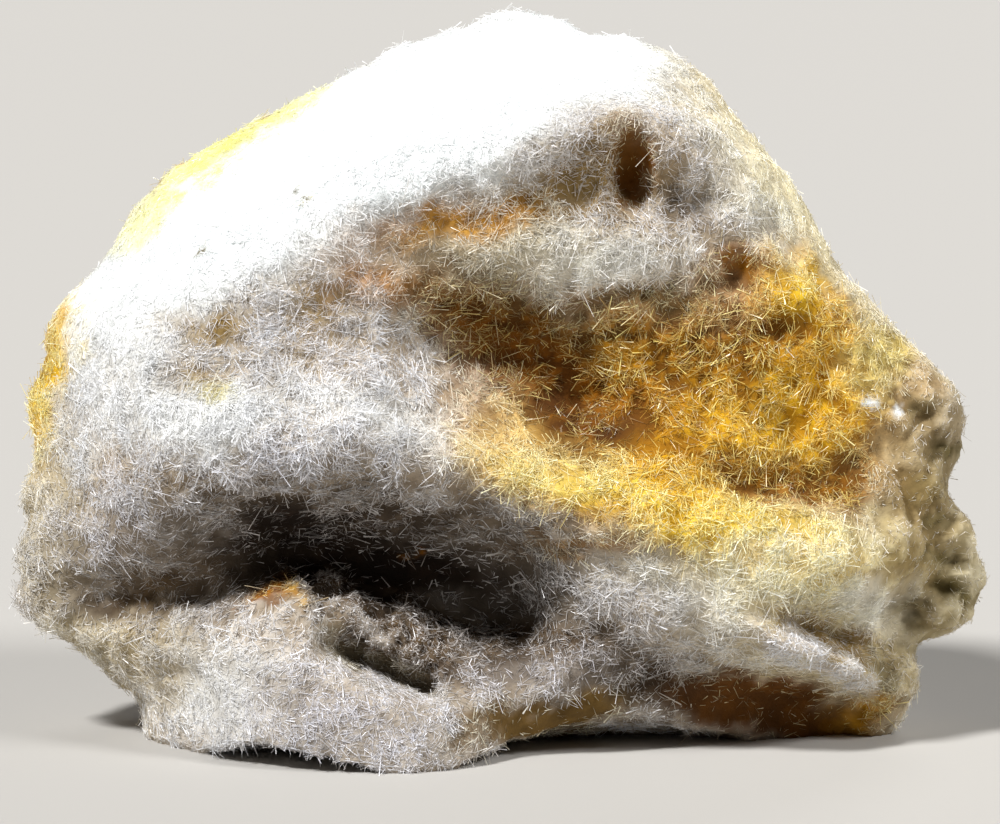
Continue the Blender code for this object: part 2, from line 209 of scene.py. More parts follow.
@dataclass(frozen=True)
class ViewFrame:
    """The view frame of the specimen's front, as the CAD part lays its form out in it."""

    lean_deg: float = 7.0
    sink_mm: float = 0.3
    distance_mm: float = 226.0
    centre_mm: tuple[float, float] = (0.45, 14.7)

    def seen(self, points: np.ndarray) -> np.ndarray:
        """Find where points are seen.

        Args:
            points: points in metres, one a row.

        Returns:
            Across, up and forward in millimetres, one point a row.
        """
        lean = math.radians(self.lean_deg)
        across, y, z = (points / MM).T
        z = z + self.sink_mm
        up = y * math.sin(lean) + z * math.cos(lean)
        forward = -y * math.cos(lean) + z * math.sin(lean)
        spread = 1.0 / (1.0 - np.maximum(forward, 0.0) / self.distance_mm)
        middle = np.array(self.centre_mm)
        flat = middle + (np.column_stack([across, up]) - middle) * spread[:, None]
        return np.column_stack([flat, forward])

    def direction(self) -> Vector:
        """The way from the specimen to the camera."""
        lean = math.radians(self.lean_deg)
        return Vector((0.0, -math.cos(lean), math.sin(lean)))

    def centre(self) -> Vector:
        """Find the point that the camera looks at.

        Returns:
            The point in metres.
        """
        lean = math.radians(self.lean_deg)
        across, up = self.centre_mm
        return Vector((across, up * math.sin(lean), up * math.cos(lean) - self.sink_mm)) * MM


VIEW = ViewFrame()


@dataclass(frozen=True)
class Patch:
    """An oval patch of the surface, in millimetres across and up, turned anticlockwise."""

    across: float
    up: float
    half_width: float
    half_height: float
    turn_deg: float = 0.0
    softness: float = 0.5

    def cover(self, places: np.ndarray) -> np.ndarray:
        """Find how much of the patch is at each place.

        Args:
            places: across and up in millimetres, one place a row.

        Returns:
            One inside the patch, nought outside it, eased between them.
        """
        turn = math.radians(self.turn_deg)
        offset_across = places[:, 0] - self.across
        offset_up = places[:, 1] - self.up
        along = (offset_across * math.cos(turn) + offset_up * math.sin(turn)) / self.half_width
        beside = (offset_up * math.cos(turn) - offset_across * math.sin(turn)) / self.half_height
        reach = np.hypot(along, beside)
        return 1.0 - smooth_step((reach - 1.0 + self.softness) / (2.0 * self.softness))


class Tint(Enum):
    """Colours of the felt: deep, a painted shade for the gaps between its tufts; on its tufts; and of its
    palest needles.
    """

    # Pure white: the crown's own white felt, and painted highlights where the light is strongest.
    SNOW = ("#DFE2E2", "#F6FAFA", "#FFFFFF")
    WHITE = ("#9C886C", "#D3C9BC", "#F5F8FF")
    CREAM = ("#AE9E74", "#DCD0AC", "#FBF6E8")
    GREY = ("#5C5044", "#938A80", "#EEEDF6")
    TAN = ("#6E5628", "#967C4A", "#F0ECEC")
    # Brown-grey painted shade, for shaded undersides, grooves and hollows.
    BROWN_GREY = ("#33261A", "#5C4A34", "#D6D0CC")
    # Near black: painted shade in the cave, under the arch and in the recess, and the two black specks of
    # the rust spot.
    CAVE = ("#160D06", "#281A0E", "#DCD6D2")
    DARK_BROWN = ("#442400", "#744400", "#EED888")
    UMBER = ("#4A3608", "#7A5A14", "#F4EAB4")
    BROWN = ("#5E3600", "#925E02", "#F6E084")
    OCHRE = ("#6A4000", "#BE8606", "#FCEE90")
    GOLD = ("#A66C00", "#E6B012", "#FFF6A0")
    YELLOW = ("#CE9C0E", "#F2CE3A", "#FFFCBC")
    LEMON = ("#D6CC50", "#F0EA80", "#FFFFC8")
    PALE_YELLOW = ("#C8AA60", "#F2E2A8", "#FFFFEC")
    ORANGE = ("#A0681E", "#CC8E3E", "#FCF2E4")
    RUST = ("#5C3200", "#A06404", "#F4C860")
    OLIVE = ("#453A1A", "#6E6032", "#C9BE8C")
    GREEN = ("#B09850", "#E2CE80", "#F8F0C0")


@dataclass(frozen=True)
class TintPatch:
    """A patch of one tint."""

    tint: Tint
    patch: Patch
    strength: float = 1.0


@dataclass(frozen=True)
class Growth:
    """How the felt grows on a patch: its needles a square millimetre, their length and so on.

    Dullness is a power: at one, needles of all shades are as common, and above it most of them are as dull
    as the ground.
    """

    patch: Patch
    density: float
    length_mm: float
    width_mm: float
    tilt_deg: float
    tuft_mm: float
    dullness: float

    def values(self) -> np.ndarray:
        """The six values of the growth."""
        return np.array(astuple(self)[1:])


@dataclass(frozen=True)
class Dent:
    """A dent in the front, pressed in along the line of sight, or a swell where its depth is negative."""

    patch: Patch
    depth_mm: float


FRONT_STAINS_AND_PAINTED_LIGHT: dict[str, list[TintPatch]] = {
    "white of the crown and painted highlights": [
        # The crown's white felt, pure white as a painted highlight where its light is blown out; after it,
        # painted highlights on the crest, the left shoulder and the lit roll.
        TintPatch(Tint.SNOW, Patch(-4, 27.6, 18.5, 4.2, 27, 0.4)),
        TintPatch(Tint.SNOW, Patch(-3, 25.4, 8, 1.3, 24, 0.9), 0.9),
        TintPatch(Tint.SNOW, Patch(-16, 18.2, 4.6, 3, 40, 0.6), 0.6),
        TintPatch(Tint.SNOW, Patch(-13, 14.6, 4.2, 1.5, 8, 0.8), 0.7),
        TintPatch(Tint.SNOW, Patch(-4.6, 14.4, 3.4, 1.3, -20, 0.9), 0.55),
    ],
    "grains of dirt on the crown": [
        TintPatch(Tint.OLIVE, Patch(-8.1, 24.5, 0.2, 0.2)),
        TintPatch(Tint.OLIVE, Patch(-13.2, 21.8, 0.2, 0.2)),
    ],
    "cream margins and painted highlights": [
        TintPatch(Tint.CREAM, Patch(17.6, 7.6, 7.6, 7, 0, 0.6)),
        TintPatch(Tint.CREAM, Patch(14, 25.4, 8.6, 2.6, -52, 0.7)),
        # Pure white here is painted highlight on the lit upper right margin, the belly and the lower right
        # lobe.
        TintPatch(Tint.SNOW, Patch(12, 24.8, 4.4, 1.4, -52, 0.9), 0.5),
        TintPatch(Tint.PALE_YELLOW, Patch(13.4, 24.6, 5, 1.4, -52, 0.9), 0.45),
        TintPatch(Tint.SNOW, Patch(9.6, 6.7, 4.4, 1.5, 0, 0.9), 0.45),
        TintPatch(Tint.PALE_YELLOW, Patch(14.8, 7.2, 3.8, 1.8, 0, 0.9)),
        TintPatch(Tint.LEMON, Patch(12.2, 9.4, 3, 0.7, 0, 0.9), 0.5),
        TintPatch(Tint.SNOW, Patch(17.6, 5.8, 1.6, 1.2, 0, 0.9), 0.6),
        TintPatch(Tint.TAN, Patch(6, 5.4, 2.2, 1.2, -10, 0.9), 0.35),
        TintPatch(Tint.CREAM, Patch(-17.4, 3.2, 4, 2.6, 0, 0.8), 0.7),
        TintPatch(Tint.CREAM, Patch(-20.4, 9.6, 1.8, 4.4, 0, 0.8), 0.6),
        TintPatch(Tint.TAN, Patch(5.4, 27.2, 3, 1.2, 10, 0.9), 0.2),
    ],
    "yellow rim of the crown": [
        TintPatch(Tint.LEMON, Patch(-12.2, 26.5, 6, 0.6, 39, 0.9), 0.9),
        TintPatch(Tint.OCHRE, Patch(-12.9, 27, 5.6, 0.3, 39, 0.9), 0.8),
        TintPatch(Tint.YELLOW, Patch(-20, 16.4, 0.8, 3.4, -14, 0.8)),
        TintPatch(Tint.OCHRE, Patch(-20.2, 17.5, 0.6, 2.2, -20, 0.8)),
    ],
    "tan patches and painted shade of the roll": [
        TintPatch(Tint.TAN, Patch(-12.3, 18.6, 1.9, 0.8, 12, 0.8)),
        TintPatch(Tint.TAN, Patch(-13.2, 16.6, 1.5, 0.7, 10, 0.9), 0.8),
        TintPatch(Tint.TAN, Patch(-8, 19.6, 1.3, 2.4, 0, 0.9), 0.85),
        TintPatch(Tint.TAN, Patch(-8, 16.4, 2.6, 0.6, 0, 0.9), 0.5),
        TintPatch(Tint.TAN, Patch(-17, 12, 1.8, 0.5, 30, 0.9), 0.5),
        TintPatch(Tint.TAN, Patch(-14.4, 11.6, 2.4, 0.5, 14, 0.9), 0.4),
        TintPatch(Tint.LEMON, Patch(-12.6, 16, 0.9, 0.4, 0, 0.8), 0.35),
        # Painted shade: grey and brown-grey bands darken the roll's underside towards the cave.
        TintPatch(Tint.GREY, Patch(-8.6, 12.4, 5, 1, 4, 0.9), 0.4),
        TintPatch(Tint.GREY, Patch(-8.8, 11.4, 6.8, 1.1, 2, 0.9), 0.2),
        TintPatch(Tint.BROWN_GREY, Patch(-6.4, 10.1, 7.4, 1.2, -6, 0.8), 0.9),
        TintPatch(Tint.GREY, Patch(-16.4, 9, 4, 1.4, 4, 0.8), 0.7),
    ],
    "orange tinge and painted shade under the crest": [
        # Painted shade: the tan and umber darken the face where it turns down under the crest; the orange
        # and gold are the stone's own colour.
        TintPatch(Tint.TAN, Patch(0.8, 23.8, 4.4, 1.1, 14, 0.9)),
        TintPatch(Tint.UMBER, Patch(1.2, 23.6, 3.4, 1, 14, 0.9), 0.7),
        TintPatch(Tint.ORANGE, Patch(-2.2, 23, 3.8, 0.9, 12, 0.9), 0.8),
        TintPatch(Tint.GOLD, Patch(-2.6, 22.8, 2.4, 0.6, 12, 0.9), 0.35),
        TintPatch(Tint.WHITE, Patch(-4.8, 21.7, 3, 0.5, 6, 0.9), 0.6),
        TintPatch(Tint.ORANGE, Patch(-4.2, 20.4, 2.6, 0.8, -4, 0.9), 0.8),
        TintPatch(Tint.CREAM, Patch(2.4, 21.8, 5, 1, 2, 0.9), 0.8),
        # Pure white here is painted highlight on the lit fold of the face.
        TintPatch(Tint.SNOW, Patch(5.4, 21.6, 3, 0.9, 0, 0.9), 0.55),
        # The tan around the crest's pit is partly tan felt and partly painted shade of the pit.
        TintPatch(Tint.TAN, Patch(4.4, 25.2, 1.8, 1.6, -30, 0.9), 0.6),
        TintPatch(Tint.TAN, Patch(8.6, 24.6, 2.4, 2, -30, 0.9), 0.4),
    ],
    "ochre hollow": [
        TintPatch(Tint.OCHRE, Patch(8.8, 15.2, 9, 4.6, 4, 0.45)),
        TintPatch(Tint.PALE_YELLOW, Patch(0.8, 13.2, 1.4, 2, -30, 0.8), 0.5),
        TintPatch(Tint.GOLD, Patch(5.8, 11.9, 5.2, 2.1, -14, 0.75)),
        TintPatch(Tint.GOLD, Patch(12.6, 13.8, 5, 2.2, 16, 0.8), 0.9),
        TintPatch(Tint.GOLD, Patch(14, 19.4, 1.9, 2.6, 34, 0.8)),
        TintPatch(Tint.YELLOW, Patch(14.3, 20.3, 1.7, 1, -50, 0.9)),
        TintPatch(Tint.GOLD, Patch(15.6, 15.8, 1.3, 3.2, 4, 0.8)),
        TintPatch(Tint.YELLOW, Patch(6, 10.8, 5, 1.1, -14, 0.9), 0.6),
        TintPatch(Tint.PALE_YELLOW, Patch(2.8, 12.6, 3, 1.2, -14, 0.9), 0.5),
        TintPatch(Tint.GREEN, Patch(17.6, 17.2, 1.3, 2, -16, 0.8)),
        TintPatch(Tint.CREAM, Patch(17.9, 18.9, 4.4, 0.5, -48, 0.9)),
        TintPatch(Tint.PALE_YELLOW, Patch(12.8, 8.2, 5.2, 1, 6, 0.9), 0.7),
        TintPatch(Tint.YELLOW, Patch(10.2, 9.6, 3.8, 0.9, 0, 0.8), 0.9),
        TintPatch(Tint.LEMON, Patch(3.6, 11.6, 3, 0.7, -20, 0.9), 0.3),
        TintPatch(Tint.YELLOW, Patch(12.6, 13.8, 3, 1.4, 16, 0.9), 0.3),
    ],
    "brown in the hollow": [
        # The umber and dark brown on the hollow's upper wall, which faces away from the light, are brown
        # colour deepened as painted shade.
        TintPatch(Tint.UMBER, Patch(0.8, 18.7, 4.3, 1.8, -18, 0.7)),
        TintPatch(Tint.DARK_BROWN, Patch(1.4, 17.3, 4.9, 2, -32, 0.6)),
        TintPatch(Tint.DARK_BROWN, Patch(4.2, 14.7, 2.4, 1.7, -45, 0.8)),
        TintPatch(Tint.RUST, Patch(4.8, 15.8, 1.8, 0.7, -34, 0.9), 0.7),
        TintPatch(Tint.RUST, Patch(7.4, 14.4, 1.8, 0.9, -30, 0.9), 0.6),
        TintPatch(Tint.UMBER, Patch(7.6, 19.9, 2.4, 0.6, 6, 0.9), 0.8),
        TintPatch(Tint.BROWN, Patch(11.2, 17.8, 3.2, 1.9, 0, 0.9), 0.9),
        TintPatch(Tint.BROWN, Patch(13.8, 18.6, 1.2, 0.9, 0, 0.9), 0.8),
        TintPatch(Tint.BROWN, Patch(9.2, 16.6, 2.4, 0.9, 20, 0.9), 0.6),
        TintPatch(Tint.BROWN, Patch(11.8, 14.6, 2, 0.8, -20, 0.9), 0.6),
        TintPatch(Tint.DARK_BROWN, Patch(12.4, 11.9, 2.8, 0.9, 4, 0.9), 0.8),
        TintPatch(Tint.BROWN, Patch(11, 12, 2, 0.8, -20, 0.9), 0.8),
        TintPatch(Tint.BROWN, Patch(15.4, 11.6, 2.8, 1.2, -4, 0.9)),
        TintPatch(Tint.OCHRE, Patch(4, 8.6, 3, 0.35, 0, 0.9), 0.7),
    ],
    "pits": [
        # In and around the pits: brown colour and painted shade. The second pit is swelled shut, so its
        # brown alone stands for its shade.
        TintPatch(Tint.TAN, Patch(5.6, 25.6, 1.9, 1.9, 0, 0.9), 0.8),
        TintPatch(Tint.DARK_BROWN, Patch(6.3, 25.9, 0.8, 1.7, 0, 0.7)),
        TintPatch(Tint.BROWN, Patch(11.1, 21.1, 1.2, 1, 0, 0.8)),
        TintPatch(Tint.BROWN_GREY, Patch(8.9, 24.1, 1.5, 0.7, -36, 0.9), 0.8),
        TintPatch(Tint.TAN, Patch(3.6, 26, 1.8, 0.8, 10, 0.9), 0.7),
    ],
    "cave": [
        # Painted shade: near-black, brown-grey and olive where the cave, its ledge, its floor and the
        # grooves lie in shade. The white granules, the rust spot with its two black specks, and the small
        # rust speck are the stone's own colours.
        TintPatch(Tint.CAVE, Patch(-5.2, 7.6, 7.2, 2.3, -6, 0.6)),
        TintPatch(Tint.CAVE, Patch(-9.8, 9.1, 3.9, 1.4, 8, 0.8)),
        TintPatch(Tint.CAVE, Patch(1, 6.4, 2.8, 2.6, 0, 0.7), 0.7),
        TintPatch(Tint.BROWN_GREY, Patch(-15.2, 6.6, 5, 1.2, 4, 0.8)),
        TintPatch(Tint.BROWN_GREY, Patch(-4.4, 4.8, 5.2, 1.3, -28, 0.6)),
        TintPatch(Tint.WHITE, Patch(-6.8, 5.6, 0.9, 0.35, -26, 0.8), 0.6),
        TintPatch(Tint.WHITE, Patch(-5, 4.9, 0.8, 0.3, -20, 0.8), 0.6),
        TintPatch(Tint.WHITE, Patch(-7.6, 4.5, 1, 0.25, 20, 0.8), 0.6),
        TintPatch(Tint.BROWN_GREY, Patch(2.2, 4, 4.2, 1.2, 0, 0.7)),
        TintPatch(Tint.GREY, Patch(2.6, 2.8, 3.8, 0.9, 0, 0.7)),
        TintPatch(Tint.RUST, Patch(-10, 6.5, 0.75, 0.6)),
        TintPatch(Tint.DARK_BROWN, Patch(-10.2, 6.5, 0.55, 0.45, 0, 0.9), 0.8),
        TintPatch(Tint.GOLD, Patch(-9.1, 6.1, 0.35, 0.3, 0, 0.8), 0.6),
        TintPatch(Tint.CAVE, Patch(-10.5, 6.9, 0.16, 0.16)),
        TintPatch(Tint.CAVE, Patch(-9.9, 6.5, 0.18, 0.14)),
        TintPatch(Tint.RUST, Patch(-3.5, 8.1, 0.3, 0.3, 0, 0.7), 0.8),
        TintPatch(Tint.OLIVE, Patch(-4.7, 3, 3, 0.6, -24, 0.7), 0.9),
    ],
    "foot and arch": [
        TintPatch(Tint.GREY, Patch(-6.4, 1, 5.2, 2.2, -8, 0.8), 0.8),
        # Pure white on the foot's left side is painted highlight.
        TintPatch(Tint.SNOW, Patch(-12.4, 2, 2, 2.4, 0, 0.9), 0.5),
        TintPatch(Tint.TAN, Patch(-15.6, 3.6, 1.8, 1.8, 0, 0.9), 0.35),
        TintPatch(Tint.WHITE, Patch(-5.6, 1.9, 4.4, 0.4, -26, 0.9), 0.6),
        # Painted shade: umber, brown-grey and near-black under the arch and in the recess, where the floor's
        # light would brighten them; the recess's dark brown is also its own colour.
        TintPatch(Tint.UMBER, Patch(2.8, 0.8, 4.2, 0.9, 12)),
        TintPatch(Tint.BROWN_GREY, Patch(2.4, 0.9, 3.6, 0.8, 12, 0.8), 0.5),
        TintPatch(Tint.BROWN_GREY, Patch(8.6, 2, 3.2, 1.3, -10, 0.7)),
        TintPatch(Tint.CAVE, Patch(8.8, 1.8, 2.8, 0.9, -10, 0.9), 0.75),
        TintPatch(Tint.DARK_BROWN, Patch(12.6, 1.2, 4, 1.5, -8)),
        TintPatch(Tint.CAVE, Patch(12.6, 1, 3.8, 1.1, -8, 0.8), 0.4),
        TintPatch(Tint.OCHRE, Patch(16.8, 1.2, 1.6, 0.9, 20, 0.9)),
        TintPatch(Tint.WHITE, Patch(14.5, 3.85, 3.3, 0.55, -24, 0.6)),
        # Tan in the slot above the white ledge is painted shade.
        TintPatch(Tint.TAN, Patch(15.5, 4.5, 2.7, 0.5, -19, 0.8)),
    ],
    "pits of the right margin": [
        TintPatch(Tint.TAN, Patch(19.6, 10.4, 1.7, 5.4, 0, 0.9), 0.75),
        TintPatch(Tint.TAN, Patch(18.8, 11.4, 1.6, 0.9, 0, 0.9), 0.6),
        # Olive in the pits of the right margin: olive colour and painted shade of the pits.
        TintPatch(Tint.OLIVE, Patch(20, 11.6, 0.9, 0.6, 0, 0.9), 0.5),
        TintPatch(Tint.OLIVE, Patch(20.6, 8.1, 1, 0.5, 0, 0.8), 0.9),
        TintPatch(Tint.OLIVE, Patch(20.9, 6.6, 1.1, 0.5, 0, 0.8)),
        TintPatch(Tint.OLIVE, Patch(20.2, 10, 0.7, 0.4, 0, 0.8), 0.7),
        TintPatch(Tint.OLIVE, Patch(20.6, 13.1, 0.7, 0.5, 0, 0.8), 0.9),
        TintPatch(Tint.OLIVE, Patch(19.2, 5.7, 0.6, 0.5, 0, 0.8), 0.7),
        TintPatch(Tint.OLIVE, Patch(19.5, 14.5, 0.6, 0.4, 0, 0.8), 0.6),
        TintPatch(Tint.OLIVE, Patch(17.9, 2.8, 0.5, 0.8, 10, 0.9), 0.6),
        # Each of the two tiny pure white dots is a painted glint.
        TintPatch(Tint.SNOW, Patch(17.2, 14.9, 0.2, 0.2)),
        TintPatch(Tint.SNOW, Patch(18.5, 14.8, 0.2, 0.2)),
    ],
}

BACK_STAINS: dict[str, list[TintPatch]] = {
    "white of the crown": [
        TintPatch(Tint.SNOW, Patch(-4, 28.4, 17, 3.2, 27, 0.9), 0.75),
    ],
    "cream field": [
        TintPatch(Tint.CREAM, Patch(4, 13, 15, 10, 20)),
        TintPatch(Tint.GREY, Patch(-9, 9, 7, 4, -20), 0.7),
    ],
    "ochre seam": [
        TintPatch(Tint.OCHRE, Patch(2, 16, 11, 2.4, 32, 0.8), 0.8),
        TintPatch(Tint.GOLD, Patch(7, 8, 4, 2.2, -20, 0.8), 0.7),
        TintPatch(Tint.BROWN, Patch(-2, 13.6, 4, 1, 30, 0.8), 0.8),
        TintPatch(Tint.YELLOW, Patch(-14, 22, 5, 2.4, 36, 0.8), 0.8),
    ],
}

EVERYWHERE = Patch(0, 15, 60, 60)
FIELD_GROWTH = Growth(EVERYWHERE, 95, 0.42, 0.027, 8, 0.1, 1)
BACK_GROWTH = Growth(EVERYWHERE, 27, 0.48, 0.042, 8, 0.13, 1.2)

FRONT_GROWTH: dict[str, Growth] = {
    "crown": Growth(Patch(-4, 27, 19, 4.6, 26), 90, 0.24, 0.028, 6, 0.04, 1),
    "crest": Growth(Patch(-3, 24.6, 13, 2.4, 22), 140, 0.38, 0.028, 9, 0.08, 0.7),
    "upper face": Growth(Patch(-1, 21.8, 9, 2.2, 6), 145, 0.44, 0.027, 8, 0.08, 1),
    "orange tinge": Growth(Patch(-2.2, 22.9, 4, 0.9, 12), 100, 0.42, 0.026, 8, 0.08, 2.2),
    "lower orange tinge": Growth(Patch(-4.3, 20.6, 2.4, 0.8, -4), 90, 0.42, 0.026, 8, 0.08, 2),
    "upper right margin": Growth(Patch(14.4, 24.4, 7, 1.6, -52), 70, 0.32, 0.026, 6, 0.05, 1.2),
    "roll": Growth(Patch(-10, 14.5, 10, 4.6, 4), 185, 0.44, 0.026, 9, 0.09, 0.8),
    "lower roll": Growth(Patch(-6.4, 10.4, 9, 1.4, -4), 85, 0.4, 0.032, 10, 0.12, 1.9),
    "bare patch on the left": Growth(Patch(-12.4, 18.6, 1.6, 0.7, 12), 44, 0.42, 0.028, 8, 0.05, 1),
    "bare patch below it": Growth(Patch(-13.2, 16.6, 1.3, 0.6, 10), 60, 0.46, 0.028, 8, 0.05, 1),
    "bare patch by the face": Growth(Patch(-8, 19.6, 1.1, 2.2), 75, 0.46, 0.027, 8, 0.06, 1),
    "hollow": Growth(Patch(8, 15.2, 10, 5.4, 6), 58, 0.54, 0.031, 8, 0.14, 3),
    "dark of the hollow": Growth(Patch(1.3, 17.7, 5.2, 2, -30), 38, 0.52, 0.03, 8, 0.11, 2.4),
    "lip of the hollow": Growth(Patch(6, 11, 7, 1.5, -14), 90, 0.54, 0.029, 9, 0.11, 1.3),
    "pit of the crest": Growth(Patch(6.3, 25.8, 0.8, 1.7), 10, 0.26, 0.032, 8, 0.03, 1.6),
    "second pit": Growth(Patch(11.1, 21.1, 0.9, 0.8), 18, 0.26, 0.028, 8, 0.03, 2.4),
    "rust of the hollow": Growth(Patch(4.2, 14.8, 2, 1.4, -45), 52, 0.54, 0.029, 8, 0.13, 4.5),
    "cave": Growth(Patch(-4.6, 7.2, 8, 3, -4), 10, 0.44, 0.036, 12, 0.1, 1.6),
    "dark under the roll": Growth(Patch(-11.4, 8.7, 4, 1.3, 8), 32, 0.38, 0.028, 9, 0.1, 2.6),
    "groove": Growth(Patch(-15.4, 6.6, 4.8, 0.9, 4), 50, 0.34, 0.026, 8, 0.08, 2.4),
    "rust spot": Growth(Patch(-10, 6.5, 0.8, 0.6), 70, 0.24, 0.028, 8, 0.08, 4),
    "ledge in the cave": Growth(Patch(-5, 4.9, 4.6, 1.2, -28), 120, 0.15, 0.034, 20, 0.34, 2.2),
    "floor of the cave": Growth(Patch(2.4, 3.6, 4, 1.5), 75, 0.42, 0.027, 8, 0.1, 2),
    "foot": Growth(Patch(-8, 1.2, 7.2, 2.9, -6), 165, 0.34, 0.024, 6, 0.06, 0.9),
    "belly": Growth(Patch(10, 6.6, 7, 2.6), 110, 0.5, 0.027, 8, 0.08, 1),
    "arch": Growth(Patch(2.6, 0.8, 4.2, 0.9, 12), 5, 0.36, 0.036, 8, 0.04, 1.6),
    "slot": Growth(Patch(15.5, 4.5, 2.7, 0.45, -19), 60, 0.32, 0.027, 8, 0.06, 2.2),
    "white ledge": Growth(Patch(14.5, 3.8, 3.6, 0.75, -24), 140, 0.34, 0.026, 8, 0.06, 0.8),
    "recess": Growth(Patch(12.8, 0.9, 5.6, 1.6, -8), 10, 0.36, 0.03, 8, 0.06, 2.2),
    "right margin": Growth(Patch(20.2, 9, 3, 8, 4), 26, 0.22, 0.025, 8, 0.12, 1.3),
}

FRONT_DENTS: dict[str, list[Dent]] = {
    "pits of the crest": [
        Dent(Patch(6.3, 26.4, 0.8, 1.3, 0, 0.9), 0.6),
        Dent(Patch(11.1, 21.1, 0.9, 0.8, 0, 0.8), -0.4),
    ],
    "slot above the white ledge": [
        Dent(Patch(15.5, 4.45, 2.7, 0.5, -19, 0.8), 1.1),
    ],
    "edge of the white ledge": [
        Dent(Patch(14.4, 3.8, 3.2, 0.5, -24, 0.8), -0.4),
    ],
    "cave": [
        Dent(Patch(-4.6, 2.9, 2.8, 0.4, -26, 0.7), 0.7),
        Dent(Patch(-11.3, 3, 0.3, 3, 0, 0.8), 0.25),
        Dent(Patch(-8.4, 8.8, 4, 1.2, 4, 0.8), 0.5),
    ],
    "knobs of the right margin": [
        Dent(Patch(19.7, 15.5, 0.8, 0.7, 0, 0.8), -0.35),
        Dent(Patch(20.8, 14, 0.7, 0.6, 0, 0.8), -0.3),
        Dent(Patch(19.5, 10.9, 0.8, 0.7, 0, 0.8), -0.35),
        Dent(Patch(21.2, 9.3, 0.7, 0.7, 0, 0.8), -0.3),
        Dent(Patch(20.9, 7.35, 1, 0.3, 0, 0.8), -0.25),
        Dent(Patch(18.8, 4.6, 0.9, 0.7, 0, 0.8), -0.3),
        Dent(Patch(18.8, 2.6, 0.7, 1.1, -16, 0.8), -0.4),
    ],
    "pits of the right margin": [
        Dent(Patch(19.5, 14.55, 0.5, 0.35, 0, 0.8), 0.4),
        Dent(Patch(20.6, 13.1, 0.7, 0.4, 20, 0.8), 0.6),
        Dent(Patch(20.25, 10.03, 0.6, 0.35, 0, 0.8), 0.5),
        Dent(Patch(20.6, 8.1, 0.9, 0.5, 0, 0.8), 0.7),
        Dent(Patch(21, 6.55, 1.1, 0.55, -10, 0.8), 0.9),
        Dent(Patch(19.4, 6, 0.45, 0.35, 0, 0.8), 0.45),
        Dent(Patch(19.1, 5.4, 0.45, 0.35, 0, 0.8), 0.45),
    ],
}


@dataclass
class Surface:
    """What is known at each vertex of the crust, one a row."""

    points: np.ndarray
    normals: np.ndarray
    ground: np.ndarray
    needle: np.ndarray
    density: np.ndarray
    length_mm: np.ndarray
    width_mm: np.ndarray
    tilt_deg: np.ndarray
    dullness: np.ndarray


